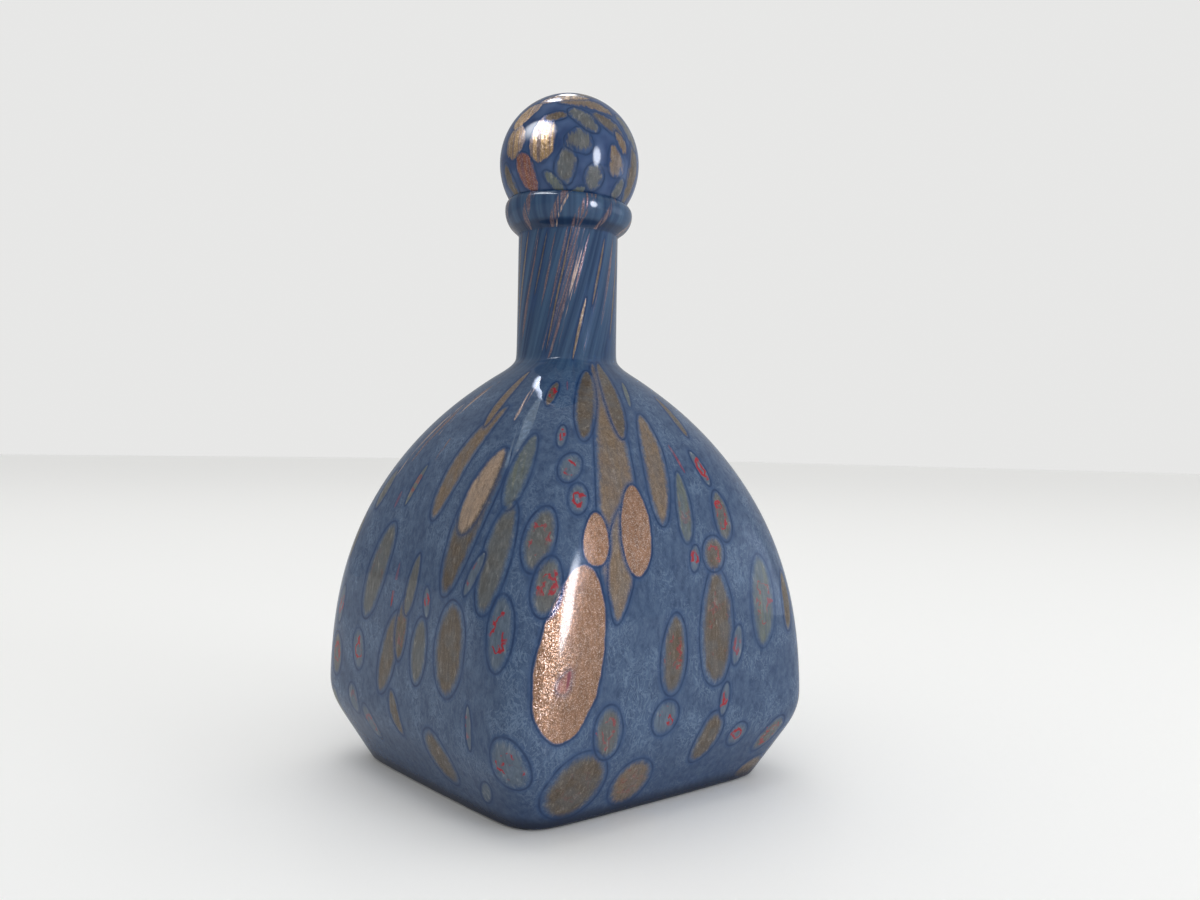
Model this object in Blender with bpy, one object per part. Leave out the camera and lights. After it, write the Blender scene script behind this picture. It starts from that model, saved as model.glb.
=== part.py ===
"""A square, hand-blown glass carafe with a ball stopper.

The vessel stands on the XY plane with its axis on +Z and its four faces square to X and Y. Its walls lean out from
the foot to a ridge, then close in a dome whose corners die away into a round neck. A collar on the neck's rim holds
a ground seat for the ball. Under the ball a peg carries a ribbed seal that fills the bore. All sizes are in metres.
"""

import math

import bmesh
import bpy
from mathutils import Vector

# Vessel
FOOT_SIDE = 0.0940
FOOT_CORNER_RADIUS = 0.0125
HEEL_RADIUS = 0.0020
GIRTH_SIDE = 0.1168
GIRTH_CORNER_RADIUS = 0.0150
GIRTH_HEIGHT = 0.0210
RIDGE_SOFTNESS = 0.0030
DOME_CLOSING_HEIGHT = 0.1330
DOME_FULLNESS = 3.3
DOME_TAPER = 0.66
NECK_DIAMETER = 0.0320
NECK_RIM_HEIGHT = 0.1700
NECK_FOOT_SOFTNESS = 0.0050
WALL = 0.0035
BASE_THICKNESS = 0.0075
FLOOR_CORNER_RADIUS = 0.0060

# Collar on the rim, whose crest lies a little out of level
COLLAR_HEIGHT = 0.0100
COLLAR_BULGE_HEIGHT = 0.0070
LIP_WIDTH = 0.0016
LIP_TILT = math.radians(2.7)
LIP_HIGH_SIDE = math.radians(143.0)

# Stopper
BALL_DIAMETER = 0.0450
SEAT_ANGLE = math.radians(56.0)
PEG_LENGTH = 0.0230
PEG_SHOULDER_DROP = 0.0012
PEG_TIP_BEVEL = 0.0010
SEAL_TOP_DROP = 0.0045
SEAL_LENGTH = 0.0140
SEAL_THICKNESS = 0.0024
SEAL_RIBS = 3
SEAL_RIB_HEIGHT = 0.0007

# Clearances between neighbours
GAP = 0.0003

# Fineness of the meshes
QUADRANT_STEPS = 12
CORNER_CROWDING = 1.4
HEEL_RINGS = 4
RIDGE_RINGS = 9
DOME_RINGS = 15
NECK_FOOT_RINGS = 7
FLOOR_RINGS = 4
COLLAR_RINGS = 8
SEAT_RINGS = 5
TURNED_STEPS = 40
RIB_STEPS = 6
BALL_STEPS = 24
SLOPE_STEP = 0.0002
WELD_DISTANCE = 0.000001
SHARP_ANGLE = math.radians(35.0)

# Sizes that follow from those above
GIRTH_HALF = GIRTH_SIDE / 2
NECK_RADIUS = NECK_DIAMETER / 2
BORE_RADIUS = NECK_RADIUS - WALL
BALL_RADIUS = BALL_DIAMETER / 2
SEAT_RADIUS = BALL_RADIUS + GAP
COLLAR_BASE = NECK_RIM_HEIGHT + GAP
COLLAR_TOP = NECK_RIM_HEIGHT + COLLAR_HEIGHT
MOUTH_RADIUS = SEAT_RADIUS * math.sin(SEAT_ANGLE)
COLLAR_RADIUS = MOUTH_RADIUS + LIP_WIDTH
BALL_CENTRE = COLLAR_TOP + SEAT_RADIUS * math.cos(SEAT_ANGLE)
SEAL_RADIUS = BORE_RADIUS - GAP
SEAL_BORE_RADIUS = SEAL_RADIUS - SEAL_THICKNESS
GROOVE_RADIUS = SEAL_BORE_RADIUS - GAP
PEG_RADIUS = SEAL_RADIUS - PEG_SHOULDER_DROP
PEG_SEAT_DEPTH = math.sqrt(BALL_RADIUS**2 - PEG_RADIUS**2)
FACET_LEAN = math.atan2(GIRTH_HALF - FOOT_SIDE / 2, GIRTH_HEIGHT)

# How far the soft corners show above and below the heights where their two lines cross
RIDGE_REACH = 2 * RIDGE_SOFTNESS
NECK_REACH_UP = 2 * NECK_FOOT_SOFTNESS
NECK_REACH_DOWN = NECK_FOOT_SOFTNESS


def spread(low, high, count):
    """count values from low to high, without the last."""
    return [low + (high - low) * step / count for step in range(count)]


def soft_min(a, b, softness):
    """The lesser of two sizes, with the corner where they cross rounded off."""
    overlap = max(softness - abs(a - b), 0) / softness
    return min(a, b) - overlap**2 * softness / 4


def soft_max(a, b, softness):
    return -soft_min(-a, -b, softness)


def dome_half(height):
    """Half side of the dome, which closes on the axis at DOME_CLOSING_HEIGHT."""
    rise = (height - GIRTH_HEIGHT) / (DOME_CLOSING_HEIGHT - GIRTH_HEIGHT)
    rise = min(max(rise, 0), 1)
    return GIRTH_HALF * (1 - rise**DOME_FULLNESS) ** DOME_TAPER


def shoulder_height():
    """Height at which the dome has come in to the neck's radius."""
    narrowed = (NECK_RADIUS / GIRTH_HALF) ** (1 / DOME_TAPER)
    return GIRTH_HEIGHT + (DOME_CLOSING_HEIGHT - GIRTH_HEIGHT) * (1 - narrowed) ** (1 / DOME_FULLNESS)


def half_side(height):
    """Half the distance between opposite faces of the vessel's outside."""
    facet = FOOT_SIDE / 2 + (GIRTH_HALF - FOOT_SIDE / 2) * height / GIRTH_HEIGHT
    body = soft_min(facet, dome_half(height), RIDGE_SOFTNESS)
    return soft_max(body, NECK_RADIUS, NECK_FOOT_SOFTNESS)


def flat_half(height):
    """Half the flat stretch of a face, between the rounding of its two corners."""
    foot_share = 1 - FOOT_CORNER_RADIUS / (FOOT_SIDE / 2)
    girth_share = 1 - GIRTH_CORNER_RADIUS / GIRTH_HALF
    if height < GIRTH_HEIGHT:
        share = foot_share + (girth_share - foot_share) * height / GIRTH_HEIGHT
    else:
        rise = (height - GIRTH_HEIGHT) / (shoulder_height() - GIRTH_HEIGHT)
        share = girth_share * math.cos(math.pi / 2 * min(rise, 1))
    return half_side(height) * share


def outline_slope(height):
    """Change of the half side with height."""
    return (half_side(height + SLOPE_STEP) - half_side(height - SLOPE_STEP)) / (2 * SLOPE_STEP)


def directions():
    """Unit directions round the vessel, closest together at its corners."""
    found = []
    for quadrant in range(4):
        for step in range(QUADRANT_STEPS):
            across = 2 * step / QUADRANT_STEPS - 1
            off_corner = math.copysign(abs(across) ** CORNER_CROWDING, across) * math.pi / 4
            angle = quadrant * math.pi / 2 + math.pi / 4 + off_corner
            found.append(Vector((math.cos(angle), math.sin(angle), 0)))
    return found


def on_rounded_square(direction, half, flat, height):
    """The point in this direction on a rounded square of half side half, whose faces are flat as far as flat."""
    x, y = abs(direction.x), abs(direction.y)
    if min(x, y) * half <= max(x, y) * flat:
        reach = half / max(x, y)
    else:
        reach = flat * (x + y) + math.sqrt((half - flat) ** 2 - flat**2 * (x - y) ** 2)
    return direction * reach + Vector((0, 0, height))


def square_ring(half, flat, height):
    return lambda direction: on_rounded_square(direction, half, flat, height)


def new_object(name, bm, material):
    """Finish a bmesh as a smooth-shaded object with its sharp edges kept."""
    bmesh.ops.recalc_face_normals(bm, faces=bm.faces)
    if bm.calc_volume(signed=True) < 0:
        bmesh.ops.reverse_faces(bm, faces=bm.faces)
    mesh = bpy.data.meshes.new(name)
    bm.to_mesh(mesh)
    bm.free()
    mesh.shade_smooth()
    mesh.set_sharp_from_angle(angle=SHARP_ANGLE)
    mesh.materials.append(material)
    thing = bpy.data.objects.new(name, mesh)
    bpy.context.collection.objects.link(thing)
    return thing


def new_material(name, colour, roughness):
    material = bpy.data.materials.new(name)
    material.use_nodes = True
    shader = material.node_tree.nodes["Principled BSDF"]
    shader.inputs["Base Color"].default_value = (*colour, 1)
    shader.inputs["Roughness"].default_value = roughness
    material.diffuse_color = (*colour, 1)
    return material


def lofted(rings, solid):
    """Extrude one ring of points through all the rings. A solid is capped at both ends, and a hoop joins up."""
    bm = bmesh.new()
    order = bm.verts.layers.int.new("order")
    around = directions()
    bmesh.ops.create_circle(bm, cap_ends=solid, segments=len(around), radius=1)
    bm.verts.ensure_lookup_table()
    for index, vert in enumerate(bm.verts):
        vert[order] = index
    ring, edges = bm.verts[:], bm.edges[:]
    first_edges = edges
    for number, place in enumerate(rings):
        if number:
            made = bmesh.ops.extrude_edge_only(bm, edges=edges)["geom"]
            ring = [item for item in made if isinstance(item, bmesh.types.BMVert)]
            new = set(ring)
            edges = [item for item in made if isinstance(item, bmesh.types.BMEdge) and new.issuperset(item.verts)]
        for vert in ring:
            vert.co = place(around[vert[order]])
    if solid:
        bmesh.ops.edgeloop_fill(bm, edges=edges)
    else:
        bmesh.ops.bridge_loops(bm, edges=first_edges + edges)
    return bm


def turned(profile):
    """Spin a profile of (radius, height) points round +Z, and close it where it meets the axis."""
    bm = bmesh.new()
    verts = [bm.verts.new((radius, 0, height)) for radius, height in profile]
    edges = [bm.edges.new(pair) for pair in zip(verts, verts[1:])]
    bmesh.ops.spin(
        bm,
        geom=verts + edges,
        cent=(0, 0, 0),
        axis=(0, 0, 1),
        angle=2 * math.pi,
        steps=TURNED_STEPS,
        use_merge=True,
    )
    bmesh.ops.remove_doubles(bm, verts=bm.verts, dist=WELD_DISTANCE)
    return bm


def vessel_outside():
    """Rings from the foot's edge, round the heel and up to the neck's rim."""
    heel_turn = math.pi / 2 - FACET_LEAN
    heel_setback = HEEL_RADIUS * math.tan(heel_turn / 2)
    share = flat_half(0) / half_side(0)
    rings = []
    for turn in spread(0, heel_turn, HEEL_RINGS):
        half = half_side(0) - heel_setback + HEEL_RADIUS * math.sin(turn)
        rings.append(square_ring(half, half * share, HEEL_RADIUS * (1 - math.cos(turn))))
    heel_top = HEEL_RADIUS * (1 - math.cos(heel_turn))
    dome_start = GIRTH_HEIGHT + RIDGE_REACH
    dome_end = shoulder_height() - NECK_REACH_DOWN
    neck_start = shoulder_height() + NECK_REACH_UP
    heights = spread(heel_top, dome_start, RIDGE_RINGS)
    heights += spread(dome_start, dome_end, DOME_RINGS)
    heights += spread(dome_end, neck_start, NECK_FOOT_RINGS)
    heights += [neck_start, NECK_RIM_HEIGHT]
    return rings + [square_ring(half_side(z), flat_half(z), z) for z in heights]


def vessel_inside():
    """Rings from the bore's rim down to the floor, one wall inside the outer surface."""
    rings = [square_ring(BORE_RADIUS, 0, NECK_RIM_HEIGHT)]
    dome_end = shoulder_height() - NECK_REACH_DOWN
    neck_start = shoulder_height() + NECK_REACH_UP
    fillet_height = BASE_THICKNESS + FLOOR_CORNER_RADIUS
    heights = spread(neck_start, dome_end, NECK_FOOT_RINGS)
    heights += spread(dome_end, fillet_height, DOME_RINGS)
    for z in heights:
        slope = outline_slope(z)
        inward = WALL / math.sqrt(1 + slope**2)
        half = half_side(z) - inward
        rings.append(square_ring(half, min(flat_half(z), half), z + inward * slope))
    tangent_height = fillet_height - FLOOR_CORNER_RADIUS * math.sin(FACET_LEAN)
    tangent_half = half_side(tangent_height) - WALL / math.cos(FACET_LEAN)
    fillet_half = tangent_half - FLOOR_CORNER_RADIUS * math.cos(FACET_LEAN)
    for turn in [*spread(FACET_LEAN, math.pi / 2, FLOOR_RINGS), math.pi / 2]:
        half = fillet_half + FLOOR_CORNER_RADIUS * math.cos(turn)
        z = fillet_height - FLOOR_CORNER_RADIUS * math.sin(turn)
        rings.append(square_ring(half, flat_half(z) * half / half_side(z), z))
    return rings


def collar_rings():
    """Rings of the collar: up its bulging outside, over the crest, and down the seat and the bore."""
    lean = (COLLAR_RADIUS**2 - NECK_RADIUS**2 - COLLAR_BULGE_HEIGHT**2) / (2 * (COLLAR_RADIUS - NECK_RADIUS))
    bulge = COLLAR_RADIUS - lean
    high_side = Vector((math.cos(LIP_HIGH_SIDE), math.sin(LIP_HIGH_SIDE), 0))

    def lifted(direction, radius, height):
        """The height with its share of the crest's tilt."""
        share = (height - COLLAR_BASE) / (COLLAR_TOP - COLLAR_BASE)
        return height + share * radius * direction.dot(high_side) * math.tan(LIP_TILT)

    def plain(radius, height):
        return lambda direction: direction * radius + Vector((0, 0, lifted(direction, radius, height)))

    def seat(share):
        def place(direction):
            crest = lifted(direction, MOUTH_RADIUS, COLLAR_TOP)
            edge = math.sqrt(SEAT_RADIUS**2 - (BALL_CENTRE - crest) ** 2)
            radius = edge + (BORE_RADIUS - edge) * share
            return direction * radius + Vector((0, 0, BALL_CENTRE - math.sqrt(SEAT_RADIUS**2 - radius**2)))

        return place

    rings = []
    widest = NECK_RIM_HEIGHT + COLLAR_BULGE_HEIGHT
    for z in spread(COLLAR_BASE, COLLAR_TOP, COLLAR_RINGS):
        rings.append(plain(lean + math.sqrt(bulge**2 - (z - widest) ** 2), z))
    crest_outside = lean + math.sqrt(bulge**2 - (COLLAR_TOP - widest) ** 2)
    rings.append(plain((crest_outside + MOUTH_RADIUS) / 2, COLLAR_TOP))
    rings += [seat(step / SEAT_RINGS) for step in range(SEAT_RINGS + 1)]
    rings.append(lambda direction: direction * BORE_RADIUS + Vector((0, 0, COLLAR_BASE)))
    return rings


def vessel():
    glass = new_material("blue_cased_glass", (0.075, 0.125, 0.225), 0.08)
    return new_object("vessel", lofted(vessel_outside() + vessel_inside(), solid=True), glass)


def lip_collar():
    glass = new_material("blue_collar_glass", (0.065, 0.115, 0.215), 0.08)
    return new_object("lip_collar", lofted(collar_rings(), solid=False), glass)


def stopper_ball():
    """The ball, with a flat underneath where the peg is joined."""
    bm = bmesh.new()
    bmesh.ops.create_uvsphere(bm, u_segments=2 * BALL_STEPS, v_segments=BALL_STEPS, radius=BALL_RADIUS)
    cut = bmesh.ops.bisect_plane(
        bm,
        geom=bm.verts[:] + bm.edges[:] + bm.faces[:],
        plane_co=(0, 0, -PEG_SEAT_DEPTH),
        plane_no=(0, 0, -1),
        clear_outer=True,
    )
    rim = [item for item in cut["geom_cut"] if isinstance(item, bmesh.types.BMEdge)]
    bmesh.ops.edgeloop_fill(bm, edges=rim)
    return new_object("stopper_ball", bm, new_material("navy_chip_glass", (0.045, 0.075, 0.150), 0.06))


def stopper_peg():
    """The peg that hangs from the ball, with a groove for the seal between its two shoulders."""
    top = -PEG_SEAT_DEPTH - GAP
    groove_top = top - SEAL_TOP_DROP
    groove_foot = groove_top - SEAL_LENGTH - 2 * GAP
    tip = top - PEG_LENGTH
    profile = [
        (0, top),
        (PEG_RADIUS, top),
        (PEG_RADIUS, groove_top),
        (GROOVE_RADIUS, groove_top),
        (GROOVE_RADIUS, groove_foot),
        (PEG_RADIUS, groove_foot),
        (PEG_RADIUS, tip + PEG_TIP_BEVEL),
        (PEG_RADIUS - PEG_TIP_BEVEL, tip),
        (0, tip),
    ]
    return new_object("stopper_peg", turned(profile), new_material("clear_glass", (0.62, 0.70, 0.72), 0.05))


def stopper_seal():
    """The soft sleeve in the peg's groove, whose ribs fill the bore."""
    top = -PEG_SEAT_DEPTH - 2 * GAP - SEAL_TOP_DROP
    foot = top - SEAL_LENGTH
    steps = RIB_STEPS * SEAL_RIBS
    outside = []
    for step in range(steps + 1):
        wave = (1 - math.cos(2 * math.pi * SEAL_RIBS * step / steps)) / 2
        radius = SEAL_RADIUS - SEAL_RIB_HEIGHT * (1 - wave)
        outside.append((radius, top + (foot - top) * step / steps))
    profile = [(SEAL_BORE_RADIUS, top), *outside, (SEAL_BORE_RADIUS, foot), (SEAL_BORE_RADIUS, top)]
    return new_object("stopper_seal", turned(profile), new_material("silicone", (0.72, 0.72, 0.68), 0.45))


def main():
    for old in list(bpy.data.objects):
        bpy.data.objects.remove(old)
    vessel()
    lip_collar()
    stopper_axis = bpy.data.objects.new("stopper_axis", None)
    stopper_axis.location = (0, 0, BALL_CENTRE)
    bpy.context.collection.objects.link(stopper_axis)
    for piece in (stopper_ball(), stopper_peg(), stopper_seal()):
        piece.parent = stopper_axis


main()
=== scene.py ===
import math
import random

import bmesh
import bpy
import numpy as np
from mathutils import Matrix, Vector
from mathutils.bvhtree import BVHTree


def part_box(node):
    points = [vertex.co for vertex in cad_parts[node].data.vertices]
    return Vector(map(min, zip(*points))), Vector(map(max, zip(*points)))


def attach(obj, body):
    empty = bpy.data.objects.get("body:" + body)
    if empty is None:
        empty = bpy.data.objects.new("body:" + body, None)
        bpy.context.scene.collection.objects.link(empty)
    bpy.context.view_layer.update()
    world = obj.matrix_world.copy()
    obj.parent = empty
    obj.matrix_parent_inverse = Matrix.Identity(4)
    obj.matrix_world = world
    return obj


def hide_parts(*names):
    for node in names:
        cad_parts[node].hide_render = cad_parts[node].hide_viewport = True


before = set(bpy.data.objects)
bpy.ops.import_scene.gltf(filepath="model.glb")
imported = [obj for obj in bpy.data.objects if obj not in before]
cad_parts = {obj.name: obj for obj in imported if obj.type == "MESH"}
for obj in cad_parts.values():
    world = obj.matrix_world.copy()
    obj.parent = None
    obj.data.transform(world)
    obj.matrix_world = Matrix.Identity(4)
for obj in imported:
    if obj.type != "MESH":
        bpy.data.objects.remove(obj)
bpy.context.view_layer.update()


# ---- The vessel ------------------------------------------------------------------------------
# One body of slate-blue glass, blown square in a mould, with its neck drawn up and given a slight
# twist. Chips of tan, grey and copper glass were rolled into its hot skin, where they spread to
# ovals with a dark edge, and the pull and twist of the neck drew the upper ones out to threads.

MM = 0.001
SAME_POINT = 0.000001
FLATTEST_JOIN = math.radians(20)
SQUAREST_JOIN = math.radians(60)
HARD_EDGE = math.radians(38)


def skin(name, node, levels):
    """A CAD node's surface as one smooth mesh: triangles joined, hard edges kept, subdivided."""
    shell = bmesh.new()
    shell.from_mesh(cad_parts[node].data)
    bmesh.ops.remove_doubles(shell, verts=shell.verts, dist=SAME_POINT)
    bmesh.ops.join_triangles(shell, faces=shell.faces, angle_face_threshold=FLATTEST_JOIN,
                             angle_shape_threshold=SQUAREST_JOIN)
    crease = shell.edges.layers.float.new("crease_edge")
    for edge in shell.edges:
        edge[crease] = float(edge.calc_face_angle(0) > HARD_EDGE)
    rough = bpy.data.meshes.new(name)
    shell.to_mesh(rough)
    shell.free()
    piece = bpy.data.objects.new(name, rough)
    bpy.context.scene.collection.objects.link(piece)
    rounding = piece.modifiers.new("rounding", "SUBSURF")
    rounding.levels = rounding.render_levels = levels
    bpy.context.view_layer.update()
    smooth = bpy.data.meshes.new_from_object(piece.evaluated_get(bpy.context.evaluated_depsgraph_get()))
    piece.modifiers.clear()
    piece.data = smooth
    piece.data.shade_smooth()
    piece.data.set_sharp_from_angle(angle=HARD_EDGE)
    return piece


def corners(mesh):
    """Where each face corner is in millimetres, the face it belongs to, and every face's normal."""
    spots = np.empty(len(mesh.vertices) * 3)
    mesh.vertices.foreach_get("co", spots)
    vertex = np.empty(len(mesh.loops), int)
    mesh.loops.foreach_get("vertex_index", vertex)
    sides = np.empty(len(mesh.polygons), int)
    mesh.polygons.foreach_get("loop_total", sides)
    normals = np.empty(len(mesh.polygons) * 3)
    mesh.polygons.foreach_get("normal", normals)
    face = np.repeat(np.arange(len(sides)), sides)
    return spots.reshape(-1, 3)[vertex] / MM, face, normals.reshape(-1, 3)


# Each kind of chip: its colour, how much it glitters, and how dark its edge is.
CHIP_GLASS = {
    "red": ("#862230", 0.0, 0.3),
    "smoke": ("#566373", 0.0, 0.9),
    "sage": ("#5f655f", 0.1, 0.7),
    "grey": ("#595a5a", 0.1, 1.0),
    "brown": ("#574c41", 0.2, 1.0),
    "tan": ("#705e4c", 0.35, 0.9),
    "bronze": ("#9c8673", 0.6, 0.6),
    "copper": ("#81604a", 1.0, 1.0),
    "rust": ("#7c4a38", 0.9, 0.7),
    "gold": ("#8f7452", 1.0, 0.5),
    "thread": ("#655158", 0.6, 0.0),
    "cream": ("#a08a80", 0.7, 0.0),
    # Painted sheen: a pale kind that stands for a window's reflection on the shoulder.
    "painted_sheen": ("#667991", 0.1, 0.0),
}
SHADES = list(CHIP_GLASS)
# Layers of chips, where the chip counts as lying for a corner that has none, in millimetres, and the
# least share of its width that a chip tapers to.
LAYERS, FAR_OFF, NARROWEST = 9, 1000, 0.15
# How far past its edge a chip still shows: its line and its dark haze in millimetres, then a share of
# its width, for the waver of its outline, and a share of the size of the faces there.
EDGE_LINE, HALO, WAVER, FACE_SHARE = 0.3, 0.8, 0.02, 0.6
# How far inside its edge a chip hides what lies below it, as a share of half its width.
HIDES_FROM = 0.2


def lay_chips(piece, chips, measure):
    """Gives each face corner its place on the chip there, for the shader to draw.

    chips are (place, place, width, length, lean, glass, red ring, taper); measure gives how far across
    and along a chip each corner is, in millimetres, and whether the chip may lie there. Chips that meet
    lie in separate layers, smaller ones on top, and one that finds no layer free is left out.
    """
    spots, face, normals = corners(piece.data)
    count = np.bincount(face)
    middle = np.stack([np.bincount(face, spots[:, axis]) / count for axis in range(3)], -1)
    size = np.linalg.norm(spots - middle[face], axis=1)
    inked = np.zeros((LAYERS, len(normals)), bool)
    cleared = np.zeros((LAYERS, len(normals)), bool)
    place = np.zeros((LAYERS, len(face), 3))
    form = np.zeros((LAYERS, len(face), 3))
    glass = np.zeros((LAYERS, len(face), 3))
    place[:, :, 0], form[:, :, :2] = FAR_OFF, 1
    for chip in sorted(chips, key=lambda chip: -chip[2] * chip[3]):
        wide, long, lean, kind, ring, taper = chip[2:]
        across, along, able = measure(chip)
        _, glitter, dark_edge = CHIP_GLASS[kind]
        half_wide, half_long = wide / 2, long / 2
        slim = half_wide * np.maximum(1 - taper * along / half_long, NARROWEST)
        radius = np.hypot(across / slim, along / half_long)
        slope = np.hypot(across / slim**2, along / half_long**2)
        edge = (radius - 1) * radius / np.maximum(slope, 1e-6)
        reach = EDGE_LINE + HALO * dark_edge + WAVER * wide + FACE_SHARE * size
        near = np.zeros(len(normals), bool)
        near[face[(edge < reach) & able]] = True
        inside = np.zeros(len(normals), bool)
        inside[face[(edge < -HIDES_FROM * half_wide) & able]] = True
        over = [layer + 1 for layer in range(LAYERS) if (inked[layer] & inside).any()]
        free = [layer for layer in range(max(over, default=0), LAYERS)
                if not (cleared[layer] & near).any()]
        if not free:
            continue
        layer, here = free[0], near[face]
        inked[layer] |= inside
        cleared[layer] |= near
        place[layer][here] = np.stack([across, along, np.full_like(across, taper)], -1)[here]
        form[layer][here] = half_wide, half_long, dark_edge
        glass[layer][here] = (SHADES.index(kind) + 0.5) / len(SHADES), ring, glitter
    for layer in range(LAYERS):
        for name, values in (("place", place), ("form", form), ("glass", glass)):
            kept = piece.data.attributes.new(f"chip_{name}_{layer}", "FLOAT_VECTOR", "CORNER")
            kept.data.foreach_set("vector", values[layer].ravel())


def linear(code):
    """A colour written #rrggbb as the shader's linear light."""
    parts = [int(code[i:i + 2], 16) / 255 for i in (1, 3, 5)]
    return *(c / 12.92 if c <= 0.04045 else ((c + 0.055) / 1.055) ** 2.4 for c in parts), 1


def add(tree, kind, *values, out=0, named=None, **settings):
    """Adds a node with its settings; a value that is another node's output is linked to its socket."""
    made = tree.nodes.new("ShaderNode" + kind)
    for name, value in settings.items():
        setattr(made, name, value)
    for place, value in [*enumerate(values), *(named or {}).items()]:
        if isinstance(value, bpy.types.NodeSocket):
            tree.links.new(value, made.inputs[place])
        elif value is not None:
            made.inputs[place].default_value = value
    return made.outputs[out] if len(made.outputs) else made


def new_finish(name):
    """An empty material, its node tree, and each point's place on the object in millimetres."""
    finish = bpy.data.materials.new(name)
    finish.use_nodes = True
    tree = finish.node_tree
    tree.nodes.clear()
    spot = add(tree, "VectorMath", add(tree, "TexCoord", out="Object"), (1 / MM,) * 3, operation="MULTIPLY")
    return finish, tree, spot


# Heights up the carafe and the radius that the neck's streaks are drawn at, in millimetres, and how far
# the neck is twisted from the shoulder up, in radians.
SHOULDER, NECK_FOOT, NECK_TOP = 122.0, 132.0, 170.0
STREAK_RADIUS, TWIST = 14, 0.8


def twisted_streaks(tree, spot, apart, detail):
    """Streaks up the wall, so many millimetres apart, that lean as the neck is twisted."""
    _, _, height = add(tree, "SeparateXYZ", spot).node.outputs
    twist = add(tree, "MapRange", height, SHOULDER, NECK_TOP, 0.0, -TWIST)
    turned = add(tree, "VectorRotate", spot, named={"Angle": twist}, rotation_type="Z_AXIS")
    level = add(tree, "VectorMath", turned, (1, 1, 0), operation="MULTIPLY")
    level = add(tree, "VectorMath", level, operation="NORMALIZE")
    level = add(tree, "VectorMath", level, (STREAK_RADIUS, STREAK_RADIUS, 0), operation="MULTIPLY")
    slow = add(tree, "VectorMath", turned, (0, 0, 0.02), operation="MULTIPLY")
    drawn = add(tree, "VectorMath", level, slow, operation="ADD")
    return add(tree, "TexNoise", drawn, None, 1 / apart, detail, 0.6)


# The plates in copper glass: millimetres apart, how far they lean, and the share of plain glass.
FLAKE, FLAKE_LEAN, PLAIN_SHARE = 0.2, 0.38, 0.4


def copper_flakes(tree, spot, colour, glitter):
    """Copper aventurine's tiny metal plates at all angles: the colour, where it is metal, its normal.

    Real ones are finer than the render shows, so they are drawn about 0.2 mm apart. They differ in
    brightness, and the brightest are nearly silver.
    """
    grain = add(tree, "TexVoronoi", spot, None, 1 / FLAKE, out="Color")
    chance = add(tree, "SeparateXYZ", grain)
    plate = add(tree, "Math", chance, PLAIN_SHARE, operation="GREATER_THAN")
    metal = add(tree, "Math", glitter, plate, operation="MULTIPLY")
    lit = add(tree, "MapRange", chance, PLAIN_SHARE, 1.0, 0.95, 1.25)
    lit = add(tree, "VectorMath", colour, named={"Scale": lit}, operation="SCALE")
    colour = add(tree, "Mix", metal, named={6: colour, 7: lit}, data_type="RGBA", out=2)
    silver = add(tree, "MapRange", chance, 0.7, 1.0, 0.0, 0.45)
    silver = add(tree, "Math", silver, metal, operation="MULTIPLY")
    colour = add(tree, "Mix", silver, named={6: colour, 7: linear("#c4b5ab")}, data_type="RGBA", out=2)
    lean = add(tree, "VectorMath", grain, (0.5, 0.5, 0.5), operation="SUBTRACT")
    amount = add(tree, "Math", metal, FLAKE_LEAN, operation="MULTIPLY")
    lean = add(tree, "VectorMath", lean, named={"Scale": amount}, operation="SCALE")
    facing = add(tree, "VectorMath", add(tree, "NewGeometry", out="Normal"), lean, operation="ADD")
    facing = add(tree, "VectorMath", facing, operation="NORMALIZE")
    return colour, metal, facing


SKIN_DEPTH = 0.12 * MM


def clear_skin(tree, spot, height):
    """The normal of the clear glass over the colour, which isn't quite even.

    It dips a few hundredths of a millimetre, and where the neck was drawn it is ribbed and grows
    thinner upwards, so that it mirrors what is above.
    """
    dips = add(tree, "TexNoise", spot, None, 1 / 9.0, 1)
    below_collar = add(tree, "Math", height, NECK_TOP + 0.1, operation="LESS_THAN")
    ribbed = add(tree, "MapRange", height, NECK_FOOT, NECK_FOOT + 6, 0.0, 1.0)
    ribbed = add(tree, "Math", ribbed, below_collar, operation="MULTIPLY")
    ribs = add(tree, "Math", twisted_streaks(tree, spot, 0.5, 1), ribbed, operation="MULTIPLY")
    thinner = add(tree, "MapRange", height, NECK_FOOT - 4, NECK_TOP + 3, 0.0, 76.0)
    thinner = add(tree, "Math", thinner, below_collar, operation="MULTIPLY")
    ribs = add(tree, "Math", ribs, thinner, operation="SUBTRACT")
    ripple = add(tree, "Bump", 1.0, named={"Distance": SKIN_DEPTH, "Height": dips})
    return add(tree, "Bump", 1.0, named={"Distance": SKIN_DEPTH, "Height": ribs, "Normal": ripple})


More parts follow.
